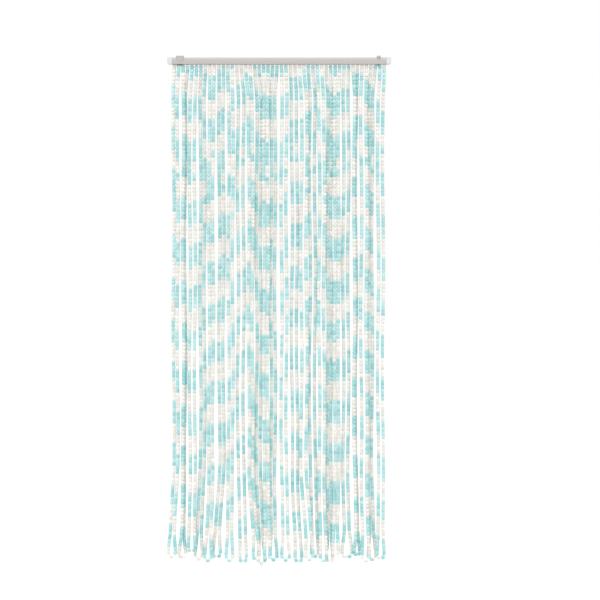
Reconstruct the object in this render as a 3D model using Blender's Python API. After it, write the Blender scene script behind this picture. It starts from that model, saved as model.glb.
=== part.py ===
"""A bead curtain for a doorway, hanging from its aluminium rail.

The rail is an extruded profile with a closed chamber above and a T-shaped channel below. A carrier strip
lies in the channel, and strands of beads hang from it through the slot. Each strand is one loop of beads:
two legs that come down side by side and join in a U at the hem. Two clips hold the rail to the wall.

X runs along the rail, +Y points to the wall and +Z up. The origin is on the wall's face, behind the
middle of the rail. Sizes are in metres.
"""

import math
from collections import namedtuple

import bmesh
import bpy
from mathutils import Matrix, Vector

MM = 0.001

# Clearance between pieces that touch on the real curtain
GAP = 0.4 * MM

# Wall clips: the plate behind the rail sets how far the rail stands off the wall
CLIP_PLATE = 2.2 * MM
CLIP_ARM = 3.0 * MM
CLIP_UNDER_REACH = 8.5 * MM
CLIP_FRONT_RADIUS = 2.0 * MM
CLIP_EDGE_RADIUS = 1.0 * MM
CLIP_LIP = 1.0 * MM
SCREW_HOLE_RADIUS = 2.2 * MM
# The tongue is a little narrower and thinner than the lip it grows from, so no two faces coincide
TONGUE_INSET = 0.5 * MM
TONGUE_SET_IN = 0.1 * MM
TONGUE_ROOT = 2.5 * MM
TONGUE_ROUNDING = 0.9
# side, centre along the rail, width, how far its tongue comes down over the rail's face
CLIPS = (
    ("left", -408.5 * MM, 32 * MM, 21 * MM),
    ("right", 409.5 * MM, 16 * MM, 7 * MM),
)

# Rail: an extruded profile, whose front face bows out between its edges
RAIL_LENGTH = 880 * MM
RAIL_HEIGHT = 31 * MM
RAIL_DEPTH = 28 * MM
RAIL_BOW = 2.4 * MM
RAIL_BOW_STEPS = 12
RAIL_WALL = 1.8 * MM
RAIL_BACK_RADIUS = 1.0 * MM
RAIL_TOP_RADIUS = 3.5 * MM
RAIL_UNDER_RADIUS = 2.5 * MM
CHAMBER_BOW_STEPS = 4
SLOT_WIDTH = 8 * MM
CHANNEL_HEIGHT = 8 * MM

# End caps
CAP_LENGTH = 20 * MM
CAP_PROUD = 1.0 * MM
CAP_CORNER = 5 * MM
CAP_DOME = 7 * MM
CAP_DOME_STEPS = 4
CAP_DOME_TURN = math.radians(80)
CAP_SHARP_ANGLE = math.radians(35)
PLUG_LENGTH = 12 * MM
PLUG_CORNER = 4.5 * MM

# Carrier strip and strands
STRIP_HEIGHT = 5 * MM
HOOK_PITCH = 18.4 * MM
STRAND_SIDE = 13 * MM
NECK_SIDE = 3.5 * MM
NECK_BELOW_RAIL = 1.5 * MM
SHOULDER = 1.5 * MM
# Loops hang this far in front of and behind the rail's middle, by turns, so that they can pass. They
# part to front and back sooner than they move sideways. Towards the hem they drift first, and their
# legs open only near it.
LAYER_OFFSET = 7.8 * MM
FRONT = -1
BACK = 1
PARTING_LENGTH = 60 * MM
SETTLE_LENGTH = 150 * MM
HEM_LENGTH = 420 * MM
OPENING_LENGTH = 130 * MM
SWAY = 2.5 * MM
SWAY_LENGTH = 870 * MM
GOLDEN_TURN = 0.618

# The loops from left to right, in millimetres. hang is the middle of the pair of legs where they hang
# settled, pitch the distance between them, hem the middle of the U, half_width half the U's width, and
# drop how far its lowest point is below the rail's middle. The layers are those of its two legs.
Loop = namedtuple("Loop", "hang pitch hem half_width drop left_layer right_layer")
LOOP_TABLE = (
    (-426, 16.5, -442, 15.5, 2047, FRONT, FRONT),
    (-391.5, 7, -399, 14, 2052, FRONT, BACK),
    (-357, 20.5, -360, 14, 2027, FRONT, FRONT),
    (-316.5, 16.5, -332, 16, 2060, BACK, BACK),
    (-280, 16, -293, 15, 2064, FRONT, FRONT),
    (-238.5, 17, -258, 16, 2052, BACK, BACK),
    (-199.5, 17, -205, 15, 2064, FRONT, FRONT),
    (-158.5, 22.5, -149, 14, 2072, BACK, BACK),
    (-117.5, 15.5, -94, 14, 2060, FRONT, FRONT),
    (-85, 17, -73, 15, 2080.5, BACK, BACK),
    (-55, 15.5, -48.5, 13, 2058, FRONT, FRONT),
    (-25.5, 16.5, -24, 16, 2064, BACK, BACK),
    (19.5, 20, 26, 17, 2062, FRONT, FRONT),
    (62.5, 20.5, 79, 14, 2072, BACK, BACK),
    (101.5, 21.5, 124, 16, 2060, FRONT, FRONT),
    (136.5, 21, 147, 15, 2049, BACK, BACK),
    (174.5, 20, 182, 14, 2064, FRONT, FRONT),
    (206.5, 15.5, 207, 14, 2071, BACK, BACK),
    (236, 15.5, 231.5, 12, 2041, FRONT, FRONT),
    (274, 20, 279, 23, 2052, BACK, BACK),
    (312, 7, 320, 12, 2043, FRONT, BACK),
    (348, 22, 356, 16, 2064, FRONT, FRONT),
    (375, 15.5, 382, 17, 2062, BACK, BACK),
    (416.5, 20.5, 417, 15, 2056, FRONT, FRONT),
)
LOOPS = [
    Loop(*(size * MM for size in row[:5]), left_layer=row[5], right_layer=row[6]) for row in LOOP_TABLE
]

# Places that follow from the sizes above
RAIL_BACK = -CLIP_PLATE - GAP
RAIL_FRONT = RAIL_BACK - RAIL_DEPTH
RAIL_CREST = RAIL_FRONT - RAIL_BOW
RAIL_MIDDLE = (RAIL_BACK + RAIL_FRONT) / 2
RAIL_TOP = RAIL_HEIGHT / 2
RAIL_UNDER = -RAIL_HEIGHT / 2
LIP_TOP = RAIL_UNDER + RAIL_WALL
WEB_UNDER = LIP_TOP + CHANNEL_HEIGHT
WEB_TOP = WEB_UNDER + RAIL_WALL
STRIP_UNDER = LIP_TOP + GAP
STRIP_WIDTH = RAIL_DEPTH - 2 * RAIL_WALL - 2 * GAP
STRIP_LENGTH = RAIL_LENGTH - 6 * MM
STRAND_TOP = RAIL_UNDER - NECK_BELOW_RAIL - SHOULDER


def clear_scene():
    for obj in list(bpy.data.objects):
        bpy.data.objects.remove(obj, do_unlink=True)


def finish(name, colour, roughness, metallic=0.0):
    """A plain material for one sub-part."""
    material = bpy.data.materials.new(name)
    material.use_nodes = True
    shader = material.node_tree.nodes["Principled BSDF"]
    shader.inputs["Base Color"].default_value = (*colour, 1.0)
    shader.inputs["Roughness"].default_value = roughness
    shader.inputs["Metallic"].default_value = metallic
    return material


def place(name, data, material):
    """Puts mesh or curve data in the scene as an object with its material."""
    obj = bpy.data.objects.new(name, data)
    data.materials.append(material)
    bpy.context.scene.collection.objects.link(obj)
    return obj


def as_cutter(obj):
    obj.hide_render = True
    obj.display_type = "WIRE"


def boolean(target, other, operation):
    """Joins or cuts the target with another object, which stays as a hidden guide."""
    as_cutter(other)
    modifier = target.modifiers.new(operation.lower(), "BOOLEAN")
    modifier.operation = operation
    modifier.object = other
    modifier.solver = "EXACT"


def rounded_outline(corners, steps=3):
    """Points of a closed outline whose corners are given as (across, up, radius)."""
    points = []
    for i, (across, up, radius) in enumerate(corners):
        corner = Vector((across, up))
        if radius == 0:
            points.append(corner)
            continue
        before = (Vector(corners[i - 1][:2]) - corner).normalized()
        after = (Vector(corners[(i + 1) % len(corners)][:2]) - corner).normalized()
        half_angle = before.angle(after) / 2
        centre = corner + (before + after).normalized() * radius / math.sin(half_angle)
        start = corner + before * radius / math.tan(half_angle) - centre
        end = corner + after * radius / math.tan(half_angle) - centre
        turn = -start.angle_signed(end)
        for step in range(steps + 1):
            points.append(centre + Matrix.Rotation(turn * step / steps, 2) @ start)
    return points


def extruded(name, outlines, width, material):
    """A closed solid from outlines in the plane of Y and Z, drawn out along X by its width."""
    curve = bpy.data.curves.new(name, "CURVE")
    curve.dimensions = "2D"
    curve.fill_mode = "BOTH"
    curve.extrude = width / 2
    for outline in outlines:
        spline = curve.splines.new("POLY")
        spline.points.add(len(outline) - 1)
        for point, (across, up) in zip(spline.points, outline):
            point.co = (across, up, 0, 1)
        spline.use_cyclic_u = True
    obj = place(name, curve, material)
    # Turns the outline's own X to the scene's Y, its Y to Z, and its depth to X
    obj.rotation_euler = (math.pi / 2, 0, math.pi / 2)
    return obj


def lofted(bm, rings):
    """Adds one closed body to the mesh, skinned over rings with the same number of points."""
    loops = [[bm.verts.new(point) for point in ring] for ring in rings]
    count = len(rings[0])
    for first, second in zip(loops, loops[1:]):
        for i in range(count):
            j = (i + 1) % count
            bm.faces.new((first[i], first[j], second[j], second[i]))
    bm.faces.new(list(reversed(loops[0])))
    bm.faces.new(loops[-1])


def mesh_of(name, bm):
    bmesh.ops.recalc_face_normals(bm, faces=bm.faces)
    mesh = bpy.data.meshes.new(name)
    bm.to_mesh(mesh)
    bm.free()
    return mesh


def bowed_face(top, under, steps, set_back=0.0):
    """Points down the rail's bowed front face, without the ends, or down a face that lies behind it."""
    points = []
    for step in range(1, steps):
        up = top + (under - top) * step / steps
        swell = 1 - (2 * up / RAIL_HEIGHT) ** 2
        points.append((RAIL_FRONT - RAIL_BOW * swell + set_back, up, 0))
    return points


def make_rail(material):
    slot_back = RAIL_MIDDLE + SLOT_WIDTH / 2
    slot_front = RAIL_MIDDLE - SLOT_WIDTH / 2
    inner_back = RAIL_BACK - RAIL_WALL
    inner_front = RAIL_FRONT + RAIL_WALL
    outside = rounded_outline(
        (
            (slot_back, RAIL_UNDER, 0),
            (RAIL_BACK, RAIL_UNDER, RAIL_BACK_RADIUS),
            (RAIL_BACK, RAIL_TOP, RAIL_BACK_RADIUS),
            (RAIL_FRONT, RAIL_TOP, RAIL_TOP_RADIUS),
            *bowed_face(RAIL_TOP, RAIL_UNDER, RAIL_BOW_STEPS)[1:-1],
            (RAIL_FRONT, RAIL_UNDER, RAIL_UNDER_RADIUS),
            (slot_front, RAIL_UNDER, 0),
            (slot_front, LIP_TOP, 0),
            (inner_front, LIP_TOP, 0),
            (inner_front, WEB_UNDER, 0),
            (inner_back, WEB_UNDER, 0),
            (inner_back, LIP_TOP, 0),
            (slot_back, LIP_TOP, 0),
        ),
        steps=5,
    )
    chamber_top = RAIL_TOP - RAIL_WALL
    chamber = rounded_outline(
        (
            (inner_back, WEB_TOP, 0),
            (inner_back, chamber_top, 0),
            (inner_front, chamber_top, RAIL_TOP_RADIUS - RAIL_WALL),
            *bowed_face(chamber_top, WEB_TOP, CHAMBER_BOW_STEPS, RAIL_WALL),
            (inner_front, WEB_TOP, 0),
        )
    )
    extruded("rail", (outside, chamber), RAIL_LENGTH, material)


def cap_ring(along, middle, half_deep, half_high, corner):
    """A rounded rectangle across the rail, at a place along it, about a middle given as (across, up)."""
    across, up = middle
    outline = rounded_outline(
        (
            (across + half_deep, up - half_high, corner),
            (across + half_deep, up + half_high, corner),
            (across - half_deep, up + half_high, corner),
            (across - half_deep, up - half_high, corner),
        )
    )
    return [(along, y, z) for y, z in outline]


def make_end_cap(side, direction, material):
    """A cap with a domed outer end, and a plug that goes into the rail's upper chamber."""
    middle = ((RAIL_BACK + RAIL_CREST) / 2, (RAIL_TOP + RAIL_UNDER) / 2)
    half_deep = (RAIL_BACK - RAIL_CREST) / 2 + CAP_PROUD
    half_high = RAIL_HEIGHT / 2 + CAP_PROUD
    plug_middle = (RAIL_MIDDLE, (WEB_TOP + RAIL_TOP - RAIL_WALL) / 2)
    plug_deep = RAIL_DEPTH / 2 - RAIL_WALL - GAP
    plug_high = (RAIL_TOP - RAIL_WALL - WEB_TOP) / 2 - GAP
    plug_end = direction * (RAIL_LENGTH / 2 - PLUG_LENGTH)
    face = direction * (RAIL_LENGTH / 2 + GAP)
    shoulder = RAIL_LENGTH / 2 + CAP_LENGTH - CAP_DOME
    rings = [
        cap_ring(plug_end, plug_middle, plug_deep, plug_high, PLUG_CORNER),
        cap_ring(face, plug_middle, plug_deep, plug_high, PLUG_CORNER),
        cap_ring(face, middle, half_deep, half_high, CAP_CORNER),
    ]
    for step in range(CAP_DOME_STEPS + 1):
        angle = CAP_DOME_TURN * step / CAP_DOME_STEPS
        inset = CAP_DOME * (1 - math.cos(angle))
        along = direction * (shoulder + CAP_DOME * math.sin(angle) / math.sin(CAP_DOME_TURN))
        corner = CAP_CORNER - inset / 2
        rings.append(cap_ring(along, middle, half_deep - inset, half_high - inset, corner))
    bm = bmesh.new()
    lofted(bm, rings)
    cap = place(f"end_cap_{side}", mesh_of(f"end_cap_{side}", bm), material)
    cap.data.shade_smooth()
    cap.data.set_sharp_from_angle(angle=CAP_SHARP_ANGLE)


def make_wall_clip(side, centre, width, tongue_drop, material):
    """A clip around the back of the rail, with a tongue over its front and a screw hole in its plate."""
    arm_under = RAIL_TOP + GAP
    arm_top = arm_under + CLIP_ARM
    tongue_back = RAIL_CREST - GAP
    tongue_front = tongue_back - CLIP_PLATE
    foot_top = RAIL_UNDER - GAP
    foot_under = foot_top - CLIP_ARM
    bracket = rounded_outline(
        (
            (0, foot_under, 0),
            (0, arm_top, CLIP_EDGE_RADIUS),
            (tongue_front, arm_top, CLIP_FRONT_RADIUS),
            (tongue_front, arm_under - CLIP_LIP, 0),
            (tongue_back, arm_under - CLIP_LIP, 0),
            (tongue_back, arm_under, 0),
            (-CLIP_PLATE, arm_under, 0),
            (-CLIP_PLATE, foot_top, 0),
            (-CLIP_UNDER_REACH, foot_top, 0),
            (-CLIP_UNDER_REACH, foot_under, CLIP_EDGE_RADIUS),
        )
    )
    bm = bmesh.new()
    ends = (centre - width / 2, centre + width / 2)
    lofted(bm, [[(x, y, z) for y, z in bracket] for x in ends])
    clip = place(f"wall_clip_{side}", mesh_of(f"wall_clip_{side}", bm), material)

    # The tongue is a plate with a round lower end, which stands into the bracket's front edge
    low = arm_under - tongue_drop
    root = arm_top - TONGUE_ROOT
    half = width / 2 - TONGUE_INSET
    corner = min(width / 2, tongue_drop) * TONGUE_ROUNDING
    plate = rounded_outline(
        ((-half, root, 0), (-half, low, corner), (half, low, corner), (half, root, 0)),
        steps=5,
    )
    bm = bmesh.new()
    lofted(
        bm,
        [
            [(centre + x, tongue_back - TONGUE_SET_IN, z) for x, z in plate],
            [(centre + x, tongue_front + TONGUE_SET_IN, z) for x, z in plate],
        ],
    )
    tongue = place(f"{side}_tongue", mesh_of(f"{side}_tongue", bm), material)
    boolean(clip, tongue, "UNION")

    bpy.ops.mesh.primitive_cylinder_add(
        vertices=16,
        radius=SCREW_HOLE_RADIUS,
        depth=4 * CLIP_PLATE,
        location=(centre, 0, 0),
        rotation=(math.pi / 2, 0, 0),
    )
    drill = bpy.context.active_object
    drill.name = f"{side}_drill"
    boolean(clip, drill, "DIFFERENCE")


def ease(share):
    """Goes smoothly from 0 to 1 as the share does, and stays there."""
    share = min(max(share, 0.0), 1.0)
    return share * share * (3 - 2 * share)


def leg_centre(index, is_right, height):
    """The middle of one leg of a loop at a height: from its hook to its bundle, then to its U."""
    loop = LOOPS[index]
    side = 1 if is_right else -1
    layer = loop.right_layer if is_right else loop.left_layer
    hook = (2 * index + is_right + 0.5 - len(LOOPS)) * HOOK_PITCH
    settled = ease((STRAND_TOP - height) / SETTLE_LENGTH)
    parted = ease((STRAND_TOP - height) / PARTING_LENGTH)
    above_hem = height + loop.drop
    gone = ease((HEM_LENGTH - above_hem) / HEM_LENGTH)
    opened = ease((OPENING_LENGTH - above_hem) / OPENING_LENGTH)
    middle = loop.hang + (loop.hem - loop.hang) * gone
    half = loop.pitch / 2 + (loop.half_width - loop.pitch / 2) * opened
    turn = height / SWAY_LENGTH + index * GOLDEN_TURN
    sway = SWAY * math.sin(2 * math.pi * turn) * settled * (1 - gone)
    x = hook + (middle + side * half - hook) * settled + sway
    return Vector((x, RAIL_MIDDLE + layer * LAYER_OFFSET * parted, height))


def square_ring(centre, along, side):
    """A square section at a point of a strand, facing along it, with its flats to the front and back."""
    back = Vector((0, 1, 0))
    back = (back - along * back.dot(along)).normalized()
    across = along.cross(back)
    half = side / 2
    corners = ((-1, -1), (1, -1), (1, 1), (-1, 1))
    return [centre + across * half * a + back * half * b for a, b in corners]


def loop_route(index):
    """The centre line of a loop: down its left leg, round the U and up its right leg."""
    loop = LOOPS[index]
    u_height = -loop.drop + STRAND_SIDE / 2 + loop.half_width
    hem_height = HEM_LENGTH - loop.drop
    open_height = OPENING_LENGTH - loop.drop
    settled_height = STRAND_TOP - SETTLE_LENGTH
    heights = [STRAND_TOP - SETTLE_LENGTH * i / 5 for i in range(6)]
    heights += [settled_height + (hem_height - settled_height) * i / 5 for i in range(1, 6)]
    heights += [hem_height + (open_height - hem_height) * i / 3 for i in range(1, 4)]
    heights += [open_height + (u_height - open_height) * i / 3 for i in range(1, 4)]
    down = [leg_centre(index, False, z) for z in heights]
    up = [leg_centre(index, True, z) for z in reversed(heights)]
    turn = []
    for degrees in range(30, 180, 30):
        angle = math.radians(degrees)
        point = down[-1].lerp(up[0], (1 - math.cos(angle)) / 2)
        point.z = u_height - loop.half_width * math.sin(angle)
        turn.append(point)
    return down + turn + up


def neck(end, facing):
    """The thin sections from inside the carrier strip down to one end of a loop."""
    low = Vector((end.x, end.y, STRAND_TOP + SHOULDER))
    high = Vector((end.x, end.y, STRIP_UNDER + STRIP_HEIGHT / 2))
    return [square_ring(point, facing, NECK_SIDE) for point in (high, low)]


def make_strands(material):
    """The carrier strip with every loop of beads, joined at the roots."""
    strip_bm = bmesh.new()
    middle = Vector((0, RAIL_MIDDLE, STRIP_UNDER + STRIP_HEIGHT / 2))
    size = Matrix.Diagonal((STRIP_LENGTH, STRIP_WIDTH, STRIP_HEIGHT, 1))
    bmesh.ops.create_cube(strip_bm, size=1, matrix=Matrix.Translation(middle) @ size)
    strip = place("bead_strands", mesh_of("bead_strands", strip_bm), material)

    down = Vector((0, 0, -1))
    bm = bmesh.new()
    for index in range(len(LOOPS)):
        route = loop_route(index)
        steps = [b - a for a, b in zip(route, route[1:])]
        along = [down] + [(a + b).normalized() for a, b in zip(steps, steps[1:])] + [-down]
        strand = [square_ring(p, t, STRAND_SIDE) for p, t in zip(route, along)]
        last_neck = list(reversed(neck(route[-1], -down)))
        lofted(bm, neck(route[0], down) + strand + last_neck)
    loops = place("loops", mesh_of("loops", bm), material)
    boolean(strip, loops, "UNION")


clear_scene()
aluminium = finish("anodised_aluminium", (0.62, 0.60, 0.59), 0.35, 0.8)
white_plastic = finish("white_cap_plastic", (0.86, 0.86, 0.86), 0.4)
grey_plastic = finish("grey_clip_plastic", (0.52, 0.53, 0.50), 0.5)
bead_plastic = finish("bead_plastic", (0.28, 0.63, 0.62), 0.35)

make_rail(aluminium)
make_end_cap("left", -1, white_plastic)
make_end_cap("right", 1, white_plastic)
for clip_side, clip_centre, clip_width, clip_tongue in CLIPS:
    make_wall_clip(clip_side, clip_centre, clip_width, clip_tongue, grey_plastic)
make_strands(bead_plastic)
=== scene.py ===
# %% [markdown]
# # Dressing a bead curtain
# This lesson dresses a doorway curtain: loops of strung beads that hang from an aluminium rail. The CAD
# frame gives the rail, its end caps, its wall clips and a plain solid for the strands, all at real size.
# Here the strands become thousands of moulded beads on their threads, and each surface gets its finish.
# Sizes are in metres, +X runs along the rail, +Y points to the wall and +Z is up.

# %% Load the frame
import math
from collections import namedtuple

import bpy
import numpy as np
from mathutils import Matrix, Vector


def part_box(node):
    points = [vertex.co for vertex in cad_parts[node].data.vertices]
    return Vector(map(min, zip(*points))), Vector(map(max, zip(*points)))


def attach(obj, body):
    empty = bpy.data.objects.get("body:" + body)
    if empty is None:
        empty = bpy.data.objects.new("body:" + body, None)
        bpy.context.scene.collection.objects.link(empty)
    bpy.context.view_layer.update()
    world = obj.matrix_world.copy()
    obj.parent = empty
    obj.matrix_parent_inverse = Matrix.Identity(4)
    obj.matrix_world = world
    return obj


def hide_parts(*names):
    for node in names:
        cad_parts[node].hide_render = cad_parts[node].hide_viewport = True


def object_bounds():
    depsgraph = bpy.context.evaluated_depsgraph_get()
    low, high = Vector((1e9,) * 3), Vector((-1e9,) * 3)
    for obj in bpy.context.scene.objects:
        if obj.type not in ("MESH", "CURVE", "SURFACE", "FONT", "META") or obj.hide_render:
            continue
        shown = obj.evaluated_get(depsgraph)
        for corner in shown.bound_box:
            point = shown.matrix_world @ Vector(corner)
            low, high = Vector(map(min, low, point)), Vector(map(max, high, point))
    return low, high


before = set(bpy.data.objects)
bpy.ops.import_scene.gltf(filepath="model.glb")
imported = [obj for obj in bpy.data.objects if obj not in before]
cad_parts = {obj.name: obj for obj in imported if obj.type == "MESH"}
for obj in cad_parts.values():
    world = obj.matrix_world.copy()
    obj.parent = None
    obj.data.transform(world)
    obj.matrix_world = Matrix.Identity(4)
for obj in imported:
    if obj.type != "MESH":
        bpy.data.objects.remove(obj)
cad_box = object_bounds()
print("CAD nodes:", ", ".join(sorted(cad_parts)))

# %% [markdown]
# ## Sizes that everything shares
# A curtain of this kind is strung from one bead that repeats, so the bead's size and its place on the
# thread drive the whole piece. The rail's own sizes are read from the frame and not typed again, so the
# hooks stay in its slot whatever the CAD model says.

# %% Driving sizes
MM = 0.001

BEAD_DIAMETER = 15.4 * MM
BEAD_LENGTH = 15.5 * MM
BEAD_END_DIAMETER = 12.4 * MM
BEAD_PITCH = 15.8 * MM
THREAD_DIAMETER = 0.9 * MM

rail_low, rail_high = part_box("rail")
RAIL_UNDER = rail_low.z
RAIL_LENGTH = rail_high.x - rail_low.x
# The slot runs midway between the rail's back and the edges of its face, which bows out 2.4 mm more
RAIL_BOW = 2.4 * MM
SLOT_Y = (rail_low.y + RAIL_BOW + rail_high.y) / 2
print(f"rail {RAIL_LENGTH / MM:.0f} mm long, its underside at {RAIL_UNDER / MM:.1f} mm")

# %% [markdown]
# ## The chart of loops
# Each thread goes down, turns at the hem and comes up again, so a strand is a loop with two legs. The
# hooks are evenly spaced, but the legs gather in uneven groups below them and the hem is ragged. That
# could be left to random numbers, yet a real curtain has its own gaps, so a short chart gives each loop
# its place. A lead says how many aqua beads a leg has above its first cream run: below zero, this run
# begins before the hook and is cut short. A slip says by how many beads the runs have moved down when
# they reach the hem, since no two legs were counted alike. Leads and slips weren't counted by eye: they
# were fitted to the photo's runs, leg by leg, and rounded to half a bead.

# %% Loop chart
FRONT = -1
BACK = 1
Loop = namedtuple(
    "Loop",
    "hang pitch hem half_width drop left_layer right_layer left_lead right_lead left_slip right_slip",
)
# In millimetres: middle of the legs where they hang, distance between them, middle of the U, half its
# width, and how far its lowest point is below the rail's middle. Then layers, and leads and slips in
# beads.
LOOP_CHART = (
    (-426, 16.5, -442, 15.5, 2047, FRONT, FRONT, 11, 3, 1.5, 1),
    (-391.5, 7, -399, 14, 2052, FRONT, BACK, 2, 2, 0, 0),
    (-357, 20.5, -360, 14, 2027, FRONT, FRONT, 4, 3, 0.5, 1),
    (-316.5, 16.5, -332, 16, 2060, BACK, BACK, 3, 8, 0.5, 2),
    (-280, 16, -293, 15, 2064, FRONT, FRONT, 9.5, -2, -3, -3),
    (-238.5, 17, -258, 16, 2052, BACK, BACK, 7, 6, 0, 1),
    (-199.5, 17, -205, 15, 2064, FRONT, FRONT, -4, 12, -1, 2.5),
    (-158.5, 22.5, -149, 14, 2072, BACK, BACK, 0, -1, 0, 0),
    (-117.5, 15.5, -94, 14, 2060, FRONT, FRONT, -3, -2, 0, 2),
    (-85, 17, -73, 15, 2080.5, BACK, BACK, 1, 2.5, 1, 4),
    (-55, 15.5, -48.5, 13, 2058, FRONT, FRONT, 2, 3, 5, 4),
    (-25.5, 16.5, -24, 16, 2064, BACK, BACK, 3.5, 3, -5, 2),
    (19.5, 20, 26, 17, 2062, FRONT, FRONT, 3, 2.5, 4.5, -4),
    (62.5, 20.5, 79, 14, 2072, BACK, BACK, -2, -2.5, 0, 1),
    (101.5, 21.5, 124, 16, 2060, FRONT, FRONT, -2.5, 7, 3, 1),
    (136.5, 21, 147, 15, 2049, BACK, BACK, -4.5, 1, -2, -1),
    (174.5, 20, 182, 14, 2064, FRONT, FRONT, 6, 9, 3, 0),
    (206.5, 15.5, 207, 14, 2071, BACK, BACK, 0, 2.5, 3, -2),
    (236, 15.5, 231.5, 12, 2041, FRONT, FRONT, 3, 2.5, -2.5, -2),
    (274, 20, 279, 23, 2052, BACK, BACK, 1.5, 1, 0, -3),
    (312, 7, 320, 12, 2043, FRONT, BACK, -2.5, -2.5, -4.5, -4.5),
    (348, 22, 356, 16, 2064, FRONT, FRONT, 8, -1, -4, 0),
    (375, 15.5, 382, 17, 2062, BACK, BACK, 0, 1, -1.5, -1.5),
    (416.5, 20.5, 417, 15, 2056, FRONT, FRONT, 3.5, -3.5, 1, -2),
)
LOOPS = [Loop(*(size * MM for size in row[:5]), *row[5:]) for row in LOOP_CHART]
print(f"{len(LOOPS)} loops, {2 * len(LOOPS)} legs")

# %% [markdown]
# ## The route of a thread
# Below its hook a leg eases sideways to the place where it hangs, then comes down with a slight sway.
# Over the last 420 mm the loop drifts to the place of its U, and only near the hem do the two legs open
# into it. Neighbouring loops hang in two layers, so they pass without touching. A rope simulation would
# give much the same, but the CAD solid already holds this route, so the same formula is used and the
# beads hang along that solid.

# %% Leg and loop routes
HOOK_PITCH = 18.4 * MM
STRAND_BELOW_RAIL = 3 * MM
STRAND_TOP = RAIL_UNDER - STRAND_BELOW_RAIL
STRAND_HALF_SIDE = 6.5 * MM
LAYER_OFFSET = 7.8 * MM
PARTING_LENGTH = 60 * MM
SETTLE_LENGTH = 150 * MM
HEM_LENGTH = 420 * MM
OPENING_LENGTH = 130 * MM
SWAY = 2.5 * MM
SWAY_LENGTH = 870 * MM
GOLDEN_TURN = 0.618
LEG_POINTS = 180
U_POINTS = 24


def ease(share):
    """Goes from 0 to 1 with a soft start and a soft end."""
    share = min(max(share, 0.0), 1.0)
    return share * share * (3 - 2 * share)


def leg_centre(index, is_right, height):
    """Where one leg's thread is at a height."""
    loop = LOOPS[index]
    side = 1 if is_right else -1
    layer = loop.right_layer if is_right else loop.left_layer
    hook = (2 * index + is_right + 0.5 - len(LOOPS)) * HOOK_PITCH
    settled = ease((STRAND_TOP - height) / SETTLE_LENGTH)
    parted = ease((STRAND_TOP - height) / PARTING_LENGTH)
    above_hem = height + loop.drop
    gone = ease((HEM_LENGTH - above_hem) / HEM_LENGTH)
    opened = ease((OPENING_LENGTH - above_hem) / OPENING_LENGTH)
    middle = loop.hang + (loop.hem - loop.hang) * gone
    half = loop.pitch / 2 + (loop.half_width - loop.pitch / 2) * opened
    turn = height / SWAY_LENGTH + index * GOLDEN_TURN
    sway = SWAY * math.sin(2 * math.pi * turn) * settled * (1 - gone)
    x = hook + (middle + side * half - hook) * settled + sway
    return Vector((x, SLOT_Y + layer * LAYER_OFFSET * parted, height))


def loop_route(index):
    """The thread's points: down the left leg, round the U and up the right leg."""
    loop = LOOPS[index]
    u_height = STRAND_HALF_SIDE + loop.half_width - loop.drop
    heights = np.linspace(STRAND_TOP, u_height, LEG_POINTS)
    down = [leg_centre(index, False, z) for z in heights]
    up = [leg_centre(index, True, z) for z in heights[::-1]]
    turn = []
    for step in range(1, U_POINTS):
        angle = math.pi * step / U_POINTS
        point = down[-1].lerp(up[0], (1 - math.cos(angle)) / 2)
        point.z = u_height - loop.half_width * math.sin(angle)
        turn.append(point)
    return np.array([tuple(p) for p in down + turn + up])


routes = [loop_route(index) for index in range(len(LOOPS))]
thread_lengths = [np.linalg.norm(np.diff(route, axis=0), axis=1).sum() for route in routes]
print(f"{sum(thread_lengths):.1f} m of thread in all")

# %% [markdown]
# ## One moulded bead
# The bead is a hollow barrel: widest in the middle, drawn in to a flat end with the thread's bore. It
# could be a sphere scaled along its axis, but its ends would then come to a point and the strand would
# look like pearls. A turned profile gives the shoulder that casts the small dark line between beads.
# The bores stay closed, because the next bead hides them, and that saves many faces.

# %% Bead template
BEAD_SIDES = 10
# Places along the half-length, from the middle to the shoulder; the ends follow
PROFILE_STEPS = (-1.0, -0.84, -0.48, 0.0, 0.48, 0.84, 1.0)
BARREL_POWER = 3.0


def bead_radius(step):
    """The barrel's radius at a share of its half-length."""
    swell = 1 - abs(step) ** BARREL_POWER
    return (BEAD_END_DIAMETER + (BEAD_DIAMETER - BEAD_END_DIAMETER) * swell) / 2


def bead_template():
    """Corner points and faces of one bead whose axis is Z."""
    corners = []
    for step in PROFILE_STEPS:
        for side in range(BEAD_SIDES):
            angle = 2 * math.pi * side / BEAD_SIDES
            radius = bead_radius(step)
            z = step * BEAD_LENGTH / 2
            corners.append((radius * math.cos(angle), radius * math.sin(angle), z))
    faces = [tuple(reversed(range(BEAD_SIDES)))]
    for ring in range(len(PROFILE_STEPS) - 1):
        for side in range(BEAD_SIDES):
            low = ring * BEAD_SIDES + side
            low_next = ring * BEAD_SIDES + (side + 1) % BEAD_SIDES
            faces.append((low, low_next, low_next + BEAD_SIDES, low + BEAD_SIDES))
    top = (len(PROFILE_STEPS) - 1) * BEAD_SIDES
    faces.append(tuple(range(top, top + BEAD_SIDES)))
    return np.array(corners), faces


bead_corners, bead_faces = bead_template()
print(f"one bead: {len(bead_corners)} points, {len(bead_faces)} faces")

# %% [markdown]
# ## Beads on a thread
# Beads slide until they touch, so they sit at equal steps along the thread. Where it turns sharply at
# the hem, their inner edges touch first and the centres lie further apart. A curve modifier with an
# array would bend the beads themselves. Stepping along the route keeps each bead rigid: both of its
# ends are on the thread, and it bridges the bend as a real one does.

# %% Place the beads


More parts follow.
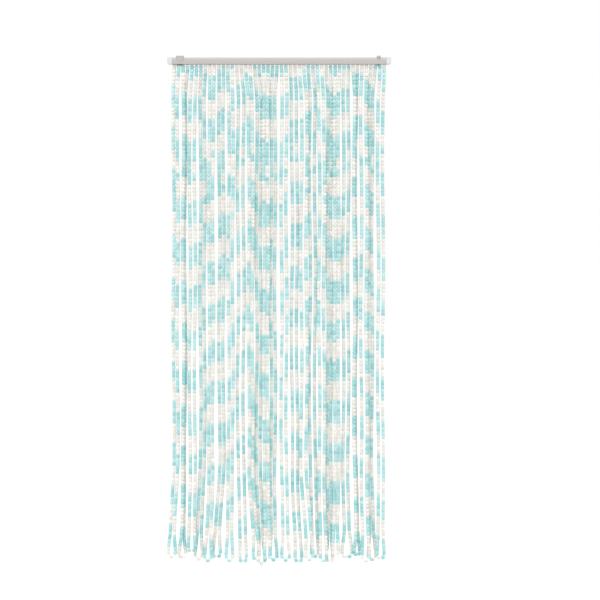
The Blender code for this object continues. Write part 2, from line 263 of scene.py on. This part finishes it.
def stations(route):
    """Distances along the route, and the same distances shortened where beads crowd in a bend."""
    step = np.diff(route, axis=0)
    length = np.linalg.norm(step, axis=1)
    heading = step / length[:, None]
    turn = np.arccos(np.clip((heading[:-1] * heading[1:]).sum(1), -1, 1))
    # A bend shortens the way along the beads' inner edges, by half on each side of it
    lost_each_side = BEAD_END_DIAMETER / 2 * turn / 2
    crowded = length.copy()
    crowded[:-1] -= lost_each_side
    crowded[1:] -= lost_each_side
    return np.insert(np.cumsum(length), 0, 0), np.insert(np.cumsum(crowded), 0, 0)


def point_at(route, distances, where):
    return np.stack([np.interp(where, distances, route[:, axis]) for axis in range(3)], axis=1)


def place_beads(route):
    """Centres and axes of all beads on one thread, from the left hook to the right one."""
    distances, crowded = stations(route)
    count = int(crowded[-1] // BEAD_PITCH)
    # The few millimetres left over are shared out, so both ends reach the hooks
    middles = np.interp((np.arange(count) + 0.5) * crowded[-1] / count, crowded, distances)
    start = point_at(route, distances, middles - BEAD_LENGTH / 2)
    end = point_at(route, distances, middles + BEAD_LENGTH / 2)
    axis = end - start
    return (start + end) / 2, axis / np.linalg.norm(axis, axis=1)[:, None]


placed = [place_beads(route) for route in routes]
bead_counts = [len(centres) for centres, axes in placed]
print(f"{sum(bead_counts)} beads, {min(bead_counts)} to {max(bead_counts)} on a loop")

# %% [markdown]
# ## The stringing pattern
# The colours come in runs: about six aqua beads, then five cream ones, with a longer stretch of aqua
# after the second run. All legs share this rhythm and only start it at a different bead, apart from one
# short run that the right legs alone have. An image or a sampled grid of colours could say it too, but
# a stringer counts beads, and so does this chart.

# %% Stringing chart
# Where each cream run begins, in beads below the start of the first
RUN_STARTS = (-11, 0, 11, 27, 38, 49, 60, 70, 81, 92, 102, 113, 123)
CREAM_RUN = 5
# On the right legs a short run breaks the long aqua stretch, two beads before its end
EXTRA_START = 22
EXTRA_RUN = 3


def is_cream(share, place, lead, slip, has_extra):
    """Whether the bead at a place below the hook, and at a share of the leg's length, is cream."""
    middle = place + 0.5
    counted = middle - lead - slip * share
    in_run = any(start <= counted < start + CREAM_RUN for start in RUN_STARTS)
    return in_run or (has_extra and EXTRA_START <= counted < EXTRA_START + EXTRA_RUN)


def cream_beads(index, count):
    """One true or false for each bead of a loop, counted from both hooks down to the hem."""
    loop = LOOPS[index]
    marks = []
    for number in range(count):
        place = min(number, count - 1 - number)
        share = place / (count / 2)
        if number < count / 2:
            marks.append(is_cream(share, place, loop.left_lead, loop.left_slip, False))
        else:
            marks.append(is_cream(share, place, loop.right_lead, loop.right_slip, True))
    return np.array(marks)


creams = [cream_beads(index, count) for index, count in enumerate(bead_counts)]
print(f"{sum(marks.sum() for marks in creams)} of the beads are cream")

# %% [markdown]
# ## Meshes from points and faces
# Beads, threads, hooks and strip are all worked out as points and faces. One helper turns such lists
# into an object in the scene, so that the functions below only say what is particular to each.

# %% Mesh helper


def mesh_object(name, corners, faces, material):
    """A new object in the scene, from its points and faces."""
    mesh = bpy.data.meshes.new(name)
    mesh.from_pydata(corners, [], faces)
    mesh.materials.append(material)
    obj = bpy.data.objects.new(name, mesh)
    bpy.context.scene.collection.objects.link(obj)
    return obj


# %% [markdown]
# ## Colours and nodes
# Colours are given as sRGB hex values, as a screen shows them, while Blender's shaders count in linear
# light, so one function turns them. Each material is a small tree of nodes. One helper adds a node, sets
# it up and links it, which keeps each tree short to read.

# %% Material helpers


def linear(hex_colour):
    """An sRGB hex colour as linear RGBA."""
    channels = [int(hex_colour[i:i + 2], 16) / 255 for i in (1, 3, 5)]
    turned = [c / 12.92 if c <= 0.04045 else ((c + 0.055) / 1.055) ** 2.4 for c in channels]
    return (*turned, 1.0)


def add_node(tree, kind, inputs=(), **settings):
    """Adds a node with its settings. An input is a value, or the output that it is linked to."""
    node = tree.nodes.new(kind)
    for name, value in settings.items():
        setattr(node, name, value)
    for socket, value in dict(inputs).items():
        if isinstance(value, bpy.types.NodeSocket):
            tree.links.new(value, node.inputs[socket])
        else:
            node.inputs[socket].default_value = value
    return node


def new_material(name):
    """An empty node material, its shader and its tree."""
    material = bpy.data.materials.new(name)
    material.use_nodes = True
    tree = material.node_tree
    return material, tree, tree.nodes["Principled BSDF"]


def scale_for(size):
    """The scale that gives a noise pattern features of this size."""
    return 1 / size


# %% [markdown]
# ## Moulded polypropylene, for the beads
# Such beads are injection moulded in polypropylene: a soft satin skin, slightly milky, that lets some
# light through. One flat colour would look like paint. So each bead has its own tone from a number on
# its points, which shifts it between a deep and a pale shade, and light scatters a little way in.
# The mould's skin is a fine ripple about 2 mm across, drawn coarser than the real 0.1 mm grain.

# %% Polypropylene material
AQUA_DEEP = "#99CCCD"
AQUA_PALE = "#BFDFDE"
CREAM_DEEP = "#DBD9D2"
CREAM_PALE = "#E9E7E2"
MOULD_RIPPLE = 2 * MM
POLYPROPYLENE_IOR = 1.49
MILKINESS = 0.7
MILKY_DEPTH = 5 * MM
TONE_NAME = "bead_tone"


def moulded_polypropylene(name, deep, pale):
    material, tree, shader = new_material(name)
    tone = add_node(tree, "ShaderNodeAttribute", attribute_name=TONE_NAME)
    ramp = add_node(tree, "ShaderNodeValToRGB", {"Fac": tone.outputs["Fac"]})
    ramp.color_ramp.elements[0].color = linear(deep)
    ramp.color_ramp.elements[1].color = linear(pale)
    place = add_node(tree, "ShaderNodeTexCoord")
    ripple = add_node(
        tree,
        "ShaderNodeTexNoise",
        {"Vector": place.outputs["Object"], "Scale": scale_for(MOULD_RIPPLE), "Detail": 2.0},
    )
    gloss = add_node(
        tree,
        "ShaderNodeMapRange",
        {"Value": ripple.outputs["Fac"], "To Min": 0.3, "To Max": 0.46},
    )
    bump = add_node(
        tree,
        "ShaderNodeBump",
        {"Height": ripple.outputs["Fac"], "Strength": 0.08, "Distance": 0.3 * MM},
    )
    tree.links.new(ramp.outputs["Color"], shader.inputs["Base Color"])
    tree.links.new(gloss.outputs["Result"], shader.inputs["Roughness"])
    tree.links.new(bump.outputs["Normal"], shader.inputs["Normal"])
    shader.inputs["IOR"].default_value = POLYPROPYLENE_IOR
    shader.inputs["Subsurface Weight"].default_value = MILKINESS
    shader.inputs["Subsurface Radius"].default_value = (1.0, 1.0, 1.0)
    shader.inputs["Subsurface Scale"].default_value = MILKY_DEPTH
    return material


aqua_polypropylene = moulded_polypropylene("polypropylene_moulded_aqua", AQUA_DEEP, AQUA_PALE)
cream_polypropylene = moulded_polypropylene("polypropylene_moulded_cream", CREAM_DEEP, CREAM_PALE)
print("bead materials:", aqua_polypropylene.name, cream_polypropylene.name)

# %% [markdown]
# ## Stringing the loops
# Thousands of separate objects would be slow, and instances would be lost when the model is exported.
# So each loop gives two meshes, its aqua beads and its cream ones, with every bead's points written at
# once by arrays. Each bead is turned about its thread and sized a little differently, as loose
# mouldings are, so that no facets or highlights line up down the curtain.

# %% Make the beads
SIZE_SPREAD = 0.015
CROSSWISE = np.array((0.0, 1.0, 0.0))


def bead_points(centres, axes, draws):
    """Corner points of all beads, one row of corners for each."""
    sideways = np.cross(CROSSWISE, axes)
    sideways /= np.linalg.norm(sideways, axis=1)[:, None]
    inwards = np.cross(axes, sideways)
    turn = draws.uniform(0, 2 * math.pi, len(centres))[:, None]
    first = np.cos(turn) * sideways + np.sin(turn) * inwards
    second = np.cross(axes, first)
    size = draws.uniform(1 - SIZE_SPREAD, 1, len(centres))[:, None, None]
    across = bead_corners[None, :, 0:1] * first[:, None] + bead_corners[None, :, 1:2] * second[:, None]
    return centres[:, None] + size * (across + bead_corners[None, :, 2:3] * axes[:, None])


def joined_copies(name, points, faces, material):
    """One mesh object from a template's faces and the points of each copy."""
    copies, per_copy = points.shape[:2]
    all_faces = [tuple(c + copy * per_copy for c in face) for copy in range(copies) for face in faces]
    return mesh_object(name, points.reshape(-1, 3).tolist(), all_faces, material)


def shade_barrels(mesh, copies):
    """Smooth sides and flat ends on each copy."""
    smooth = [len(face) == 4 for face in bead_faces] * copies
    mesh.polygons.foreach_set("use_smooth", smooth)


def string_beads(name, centres, axes, material, draws):
    """One piece with all beads of one colour on one loop."""
    points = bead_points(centres, axes, draws)
    piece = joined_copies(name, points, bead_faces, material)
    shade_barrels(piece.data, len(centres))
    tones = draws.uniform(0, 1, len(centres)).repeat(len(bead_corners))
    piece.data.attributes.new(TONE_NAME, "FLOAT", "POINT").data.foreach_set("value", tones)
    return piece


for index, (centres, axes) in enumerate(placed):
    draws = np.random.default_rng(index)
    for colour, material, marks in (
        ("aqua", aqua_polypropylene, ~creams[index]),
        ("cream", cream_polypropylene, creams[index]),
    ):
        strand = string_beads(
            f"strand_{index + 1:02d}_{colour}", centres[marks], axes[marks], material, draws
        )
        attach(strand, "root")
        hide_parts("bead_strands")
print(f"beads strung on {len(placed)} loops")

# %% [markdown]
# ## Drawn nylon, for threads, hooks and strip
# The thread is nylon monofilament, drawn through a die: clear, smooth and slightly glossy. The hooks and
# the carrier strip are nylon too, moulded and extruded, and so a little duller. They could share one
# white plastic, but the thread lets light through, and that keeps it from showing as a dark line.

# %% Nylon materials
DRAW_LINE = 3 * MM
NYLON_GRAIN = 1.5 * MM
NYLON_IOR = 1.53


def nylon(name, colour, roughness_low, roughness_high, grain, transmission):
    material, tree, shader = new_material(name)
    place = add_node(tree, "ShaderNodeTexCoord")
    cloud = add_node(
        tree,
        "ShaderNodeTexNoise",
        {"Vector": place.outputs["Object"], "Scale": scale_for(grain), "Detail": 3.0},
    )
    gloss = add_node(
        tree,
        "ShaderNodeMapRange",
        {"Value": cloud.outputs["Fac"], "To Min": roughness_low, "To Max": roughness_high},
    )
    tree.links.new(gloss.outputs["Result"], shader.inputs["Roughness"])
    shader.inputs["Base Color"].default_value = linear(colour)
    shader.inputs["IOR"].default_value = NYLON_IOR
    shader.inputs["Transmission Weight"].default_value = transmission
    return material


drawn_nylon = nylon(
    "nylon_drawn_clear",
    "#F1F4F3",
    roughness_low=0.12,
    roughness_high=0.25,
    grain=DRAW_LINE,
    transmission=0.5,
)
moulded_nylon = nylon(
    "nylon_moulded_white",
    "#E2E2DE",
    roughness_low=0.38,
    roughness_high=0.55,
    grain=NYLON_GRAIN,
    transmission=0.0,
)
print("nylon materials:", drawn_nylon.name, moulded_nylon.name)

# %% [markdown]
# ## Threads
# The thread shows only where it leaves its hook and between the beads of the U. It could be a curve with
# a round bevel, but a swept mesh lets one function make threads and hooks alike, with no more sides
# than such a thin line needs.

# %% Sweep a round section along points


def swept_round(points, diameter, sides):
    """Points and faces of a round bar that follows a route in the plane of the curtain."""
    heading = np.gradient(points, axis=0)
    heading /= np.linalg.norm(heading, axis=1)[:, None]
    outward = np.cross(CROSSWISE, heading)
    outward /= np.linalg.norm(outward, axis=1)[:, None]
    other = np.cross(heading, outward)
    angles = np.linspace(0, 2 * math.pi, sides, endpoint=False)
    ring = np.cos(angles)[None, :, None] * outward[:, None] + np.sin(angles)[None, :, None] * other[:, None]
    corners = (points[:, None] + ring * diameter / 2).reshape(-1, 3)
    last = (len(points) - 1) * sides
    faces = [tuple(reversed(range(sides))), tuple(range(last, last + sides))]
    for step in range(len(points) - 1):
        for side in range(sides):
            here = step * sides + side
            after = step * sides + (side + 1) % sides
            faces.append((here, after, after + sides, here + sides))
    return corners, faces


def joined_bars(name, bars, material):
    """One smooth-shaded object from several swept bars."""
    corners = []
    faces = []
    for bar_corners, bar_faces in bars:
        faces += [tuple(c + len(corners) for c in face) for face in bar_faces]
        corners += bar_corners.tolist()
    bars_object = mesh_object(name, corners, faces, material)
    bars_object.data.polygons.foreach_set("use_smooth", [True] * len(faces))
    return bars_object


# %% Make the threads
THREAD_SIDES = 6
LEG_POINT_STEP = 3


def thread_points(route):
    """The route with fewer points on its long legs, all of them in the U, and both ends kept."""
    left_end = LEG_POINTS
    right_start = len(route) - LEG_POINTS
    left = route[:left_end:LEG_POINT_STEP]
    right = route[right_start:][::-1][::LEG_POINT_STEP][::-1]
    return np.concatenate((left, route[left_end:right_start], right))


threads = joined_bars(
    "strand_threads",
    [swept_round(thread_points(route), THREAD_DIAMETER, THREAD_SIDES) for route in routes],
    drawn_nylon,
)
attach(threads, "root")
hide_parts("bead_strands")
print(f"{len(routes)} threads of {THREAD_DIAMETER / MM:.1f} mm")

# %% [markdown]
# ## Hooks and carrier strip
# Every leg hangs from its own little hook, whose stem goes up through the rail's slot into the carrier
# strip. The photo shows them only as dark dips under the rail, so their form is a plain one: a bent
# round wire with an eye. The strip is one extruded length with a groove along its underside.

# %% Make the hooks
HOOK_WIRE = 1.5 * MM
HOOK_EYE = 2.6 * MM
HOOK_SIDES = 8
EYE_STEPS = 14
STRIP_ABOVE_SLOT = 2.2 * MM
STRIP_UNDER = RAIL_UNDER + STRIP_ABOVE_SLOT
STEM_IN_STRIP = 1 * MM
EYE_RAISE = 0.4 * MM
EYE_CENTRE = STRAND_TOP + EYE_RAISE
EYE_START = 90
EYE_SWEEP = 330


def hook_points(x):
    """Down the stem, then round the eye."""
    stem = [(x, SLOT_Y, STRIP_UNDER + STEM_IN_STRIP), (x, SLOT_Y, RAIL_UNDER)]
    eye = []
    for step in range(EYE_STEPS):
        angle = math.radians(EYE_START + EYE_SWEEP * step / (EYE_STEPS - 1))
        eye.append(
            (
                x + HOOK_EYE / 2 * math.cos(angle),
                SLOT_Y,
                EYE_CENTRE + HOOK_EYE / 2 * math.sin(angle),
            )
        )
    return np.array(stem + eye)


hook_places = [(place + 0.5 - len(LOOPS)) * HOOK_PITCH for place in range(2 * len(LOOPS))]
hooks = joined_bars(
    "strand_hooks",
    [swept_round(hook_points(x), HOOK_WIRE, HOOK_SIDES) for x in hook_places],
    moulded_nylon,
)
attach(hooks, "root")
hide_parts("bead_strands")
print(f"{len(hook_places)} hooks, {HOOK_PITCH / MM:.1f} mm apart")

# %% Make the carrier strip
STRIP_END_ROOM = 3 * MM
STRIP_LENGTH = RAIL_LENGTH - 2 * STRIP_END_ROOM
STRIP_WIDTH = 23.6 * MM
STRIP_HEIGHT = 5 * MM
STRIP_EDGE = 0.8 * MM
GROOVE_WIDTH = 5 * MM
GROOVE_DEPTH = 0.8 * MM


def strip_section():
    """Across the strip, as (across, up) points: chamfered edges and a groove in the underside."""
    half = STRIP_WIDTH / 2
    groove = GROOVE_WIDTH / 2
    right = [
        (groove, GROOVE_DEPTH),
        (groove, 0),
        (half - STRIP_EDGE, 0),
        (half, STRIP_EDGE),
        (half, STRIP_HEIGHT - STRIP_EDGE),
        (half - STRIP_EDGE, STRIP_HEIGHT),
    ]
    return right + [(-across, up) for across, up in reversed(right)]


def extruded_strip(name, section, length, material):
    """The section drawn out along X, with both ends closed."""
    count = len(section)
    corners = [
        (end * length / 2, SLOT_Y + across, STRIP_UNDER + up)
        for end in (-1, 1)
        for across, up in section
    ]
    faces = [tuple(range(count)), tuple(reversed(range(count, 2 * count)))]
    for side in range(count):
        after = (side + 1) % count
        faces.append((side, side + count, after + count, after))
    return mesh_object(name, corners, faces, material)


carrier = extruded_strip("carrier_strip", strip_section(), STRIP_LENGTH, moulded_nylon)
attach(carrier, "root")
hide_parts("bead_strands")
print(f"carrier strip {STRIP_LENGTH / MM:.0f} mm long")

# %% [markdown]
# ## Anodised aluminium, for the rail
# The rail is extruded, then anodised: a satin metal skin with faint straight lines that the die leaves
# along its length. Metallic is 1 and the IOR stays as it is. A plain metal would mirror the room too
# sharply, so the roughness varies in streaks that are long in X and 0.8 mm apart across it, coarser
# than the real 0.1 mm lines, which would be lost between pixels.

# %% Rail material
DIE_LINE = 0.8 * MM
STREAK_LENGTH = 120 * MM


def anodised_aluminium(name, colour, worn):
    material, tree, shader = new_material(name)
    place = add_node(tree, "ShaderNodeTexCoord")
    stretch = add_node(
        tree,
        "ShaderNodeMapping",
        {
            "Vector": place.outputs["Object"],
            "Scale": (scale_for(STREAK_LENGTH), scale_for(DIE_LINE), scale_for(DIE_LINE)),
        },
    )
    lines = add_node(
        tree, "ShaderNodeTexNoise", {"Vector": stretch.outputs["Vector"], "Scale": 1.0, "Detail": 4.0}
    )
    shade = add_node(tree, "ShaderNodeValToRGB", {"Fac": lines.outputs["Fac"]})
    shade.color_ramp.elements[0].position = 0.3
    shade.color_ramp.elements[0].color = linear(worn)
    shade.color_ramp.elements[1].position = 0.7
    shade.color_ramp.elements[1].color = linear(colour)
    gloss = add_node(
        tree,
        "ShaderNodeMapRange",
        {"Value": lines.outputs["Fac"], "To Min": 0.45, "To Max": 0.6},
    )
    bump = add_node(
        tree,
        "ShaderNodeBump",
        {"Height": lines.outputs["Fac"], "Strength": 0.15, "Distance": 0.05 * MM},
    )
    tree.links.new(shade.outputs["Color"], shader.inputs["Base Color"])
    tree.links.new(gloss.outputs["Result"], shader.inputs["Roughness"])
    tree.links.new(bump.outputs["Normal"], shader.inputs["Normal"])
    shader.inputs["Metallic"].default_value = 1.0
    return material


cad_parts["rail"].material_slots[0].material = anodised_aluminium(
    "aluminium_extruded_anodised", "#CCC7C5", "#C1BCBA"
)
print("rail finished in anodised aluminium")

# %% [markdown]
# ## Moulded ABS, for caps and clips
# The caps and clips are moulded in ABS, the caps off-white and the clips a warm grey. The mould is spark
# eroded, which leaves a fine even grain and a satin sheen. The grain is drawn 0.5 mm across, about
# twice the real size, so that it just shows close by.

# %% Cap and clip materials
SPARK_GRAIN = 0.5 * MM
ABS_IOR = 1.52


def moulded_abs(name, colour, shaded):
    material, tree, shader = new_material(name)
    place = add_node(tree, "ShaderNodeTexCoord")
    grain = add_node(
        tree,
        "ShaderNodeTexNoise",
        {"Vector": place.outputs["Object"], "Scale": scale_for(SPARK_GRAIN), "Detail": 2.0},
    )
    tint = add_node(tree, "ShaderNodeValToRGB", {"Fac": grain.outputs["Fac"]})
    tint.color_ramp.elements[0].color = linear(shaded)
    tint.color_ramp.elements[1].color = linear(colour)
    gloss = add_node(
        tree,
        "ShaderNodeMapRange",
        {"Value": grain.outputs["Fac"], "To Min": 0.4, "To Max": 0.56},
    )
    bump = add_node(
        tree,
        "ShaderNodeBump",
        {"Height": grain.outputs["Fac"], "Strength": 0.2, "Distance": 0.05 * MM},
    )
    tree.links.new(tint.outputs["Color"], shader.inputs["Base Color"])
    tree.links.new(gloss.outputs["Result"], shader.inputs["Roughness"])
    tree.links.new(bump.outputs["Normal"], shader.inputs["Normal"])
    shader.inputs["IOR"].default_value = ABS_IOR
    return material


white_abs = moulded_abs("abs_moulded_white", "#DAD8D7", "#D0CECD")
grey_abs = moulded_abs("abs_moulded_grey", "#B4B6B0", "#A8AAA4")
for side in ("left", "right"):
    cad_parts[f"end_cap_{side}"].material_slots[0].material = white_abs
    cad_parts[f"wall_clip_{side}"].material_slots[0].material = grey_abs
print("caps and clips finished in ABS")

# %% [markdown]
# ## The studio
# The picture is high-key: white all round, with soft light that comes more from above. The world is
# white at the horizon and brighter overhead, which shades the rail's bowed face from top to bottom. A
# soft sun from high in front shades the beads and the tops of the strands, just below the rail. An area
# lamp would do that too, but would light the hem less than the top. The floor lies well below the hem. A
# backdrop would be white in front view only, and hide the curtain from behind.

# %% Floor, world and lamp
FLOOR_DROP = 0.35
FLOOR_SIDE = 200.0
FLOOR_COLOUR = "#D6D6D6"
HORIZON_LIGHT = 1.0
OVERHEAD_LIGHT = 1.3
# The heights, as sines, between which the light grows
GLOW_START = 0.25
GLOW_END = 0.9
# The sun's height above the horizon, its turn from straight in front and how wide it looks, in degrees
SUN_HEIGHT = 72
SUN_TURN = -12
SUN_WIDTH = 12
SUN_STRENGTH = 1.5


def studio_floor():
    """One wide matt face below the hem."""
    material, _, shader = new_material("paper_white")
    shader.inputs["Base Color"].default_value = linear(FLOOR_COLOUR)
    shader.inputs["Roughness"].default_value = 0.9
    shader.inputs["Specular IOR Level"].default_value = 0.0
    half = FLOOR_SIDE / 2
    z = cad_box[0].z - FLOOR_DROP
    corners = [(-half, -half, z), (half, -half, z), (half, half, z), (-half, half, z)]
    return mesh_object("studio_floor", corners, [(0, 1, 2, 3)], material)


studio_floor()


def white_room():
    """A world that is white at the horizon and brighter straight above."""
    world = bpy.data.worlds.new("white_room")
    world.use_nodes = True
    tree = world.node_tree
    ray = add_node(tree, "ShaderNodeTexCoord")
    split = add_node(tree, "ShaderNodeSeparateXYZ", {"Vector": ray.outputs["Generated"]})
    light = add_node(
        tree,
        "ShaderNodeMapRange",
        {
            "Value": split.outputs["Z"],
            "From Min": GLOW_START,
            "From Max": GLOW_END,
            "To Min": HORIZON_LIGHT,
            "To Max": OVERHEAD_LIGHT,
        },
        interpolation_type="SMOOTHSTEP",
    )
    background = tree.nodes["Background"]
    background.inputs["Color"].default_value = (1, 1, 1, 1)
    tree.links.new(light.outputs["Result"], background.inputs["Strength"])
    return world


bpy.context.scene.world = white_room()


def soft_sun(name, height, turn, strength, spread):
    """A distant lamp as wide as its spread, at a height above the horizon and a turn from the front."""
    data = bpy.data.lights.new(name, "SUN")
    data.energy = strength
    data.angle = math.radians(spread)
    lamp = bpy.data.objects.new(name, data)
    lamp.rotation_euler = (math.radians(90 - height), 0, math.radians(turn))
    bpy.context.scene.collection.objects.link(lamp)
    return lamp


soft_sun("key_above", SUN_HEIGHT, SUN_TURN, SUN_STRENGTH, SUN_WIDTH)
print("studio set")

# %% [markdown]
# ## The camera
# The photo looks at the curtain square on, from about half its height. A long lens at seven metres keeps
# the strands parallel. The camera's place follows from the photo's scale: one pixel of its 600 is
# 4.116 mm at the curtain, and the picture's middle is right of the rail's middle and below it.

# %% Camera
PIXEL = 4.116 * MM
PHOTO_SIDE = 600
RAIL_MIDDLE_PX = (279.25, 60.75)
LENS = 100
SENSOR = 36
FARTHEST_SEEN = 200

camera_data = bpy.data.cameras.new("camera")
camera_data.lens = LENS
camera_data.sensor_width = SENSOR
camera_data.clip_end = FARTHEST_SEEN
camera = bpy.data.objects.new("camera", camera_data)
distance = PHOTO_SIDE * PIXEL * LENS / SENSOR
camera.location = (
    (PHOTO_SIDE / 2 - RAIL_MIDDLE_PX[0]) * PIXEL,
    SLOT_Y - distance,
    (RAIL_MIDDLE_PX[1] - PHOTO_SIDE / 2) * PIXEL,
)
camera.rotation_euler = (math.radians(90), 0, 0)
bpy.context.scene.collection.objects.link(camera)
bpy.context.scene.camera = camera
bpy.context.scene.view_settings.view_transform = "Standard"
print(f"camera {distance:.2f} m from the curtain")

# %% [markdown]
# ## The end

# %% End
print("curtain dressed")
